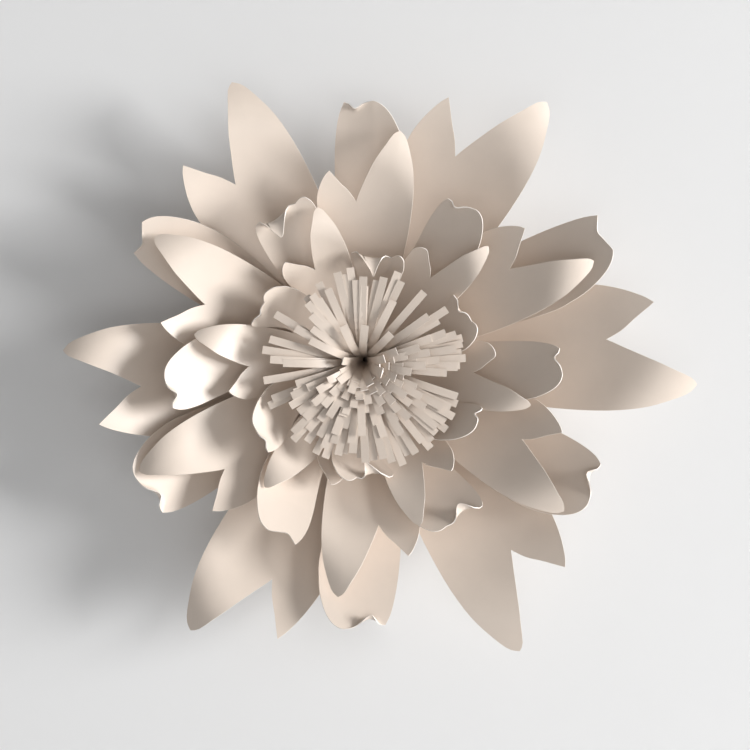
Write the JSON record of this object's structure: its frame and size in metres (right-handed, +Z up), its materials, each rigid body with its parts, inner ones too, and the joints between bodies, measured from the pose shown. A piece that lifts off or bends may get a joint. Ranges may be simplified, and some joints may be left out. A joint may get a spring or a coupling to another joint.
{
  "type": "giant paper flower",
  "caption": "Wall-hung giant paper flower: layered, lobed card petals round a rolled fringe, glued to a round card backing.",
  "frame": {"origin": "centre of the backing disc's back face, in the plane of the wall", "axes": "+Z up, +X to the right of a person facing the flower, +Y into the wall; the flower faces -Y"},
  "size_m": [0.5501, 0.106, 0.4933],
  "materials": {
    "petal_card": "matte, uncoated, beige",
    "fringe_card": "matte, uncoated, beige",
    "backing_card": "matte, uncoated, beige"
  },
  "bodies": {
    "root": {"backing_disc": "backing_card", "outer_petal_1": "petal_card", "outer_petal_2": "petal_card", "outer_petal_3": "petal_card", "outer_petal_4": "petal_card", "outer_petal_5": "petal_card", "outer_petal_6": "petal_card", "middle_petal_1": "petal_card", "middle_petal_2": "petal_card", "middle_petal_3": "petal_card", "middle_petal_4": "petal_card", "middle_petal_5": "petal_card", "middle_petal_6": "petal_card", "inner_petal_1": "petal_card", "inner_petal_2": "petal_card", "inner_petal_3": "petal_card", "inner_petal_4": "petal_card", "inner_petal_5": "petal_card", "inner_petal_6": "petal_card", "fringe_outer": "fringe_card", "fringe_middle": "fringe_card", "fringe_inner": "fringe_card"}
  },
  "joints": []
}
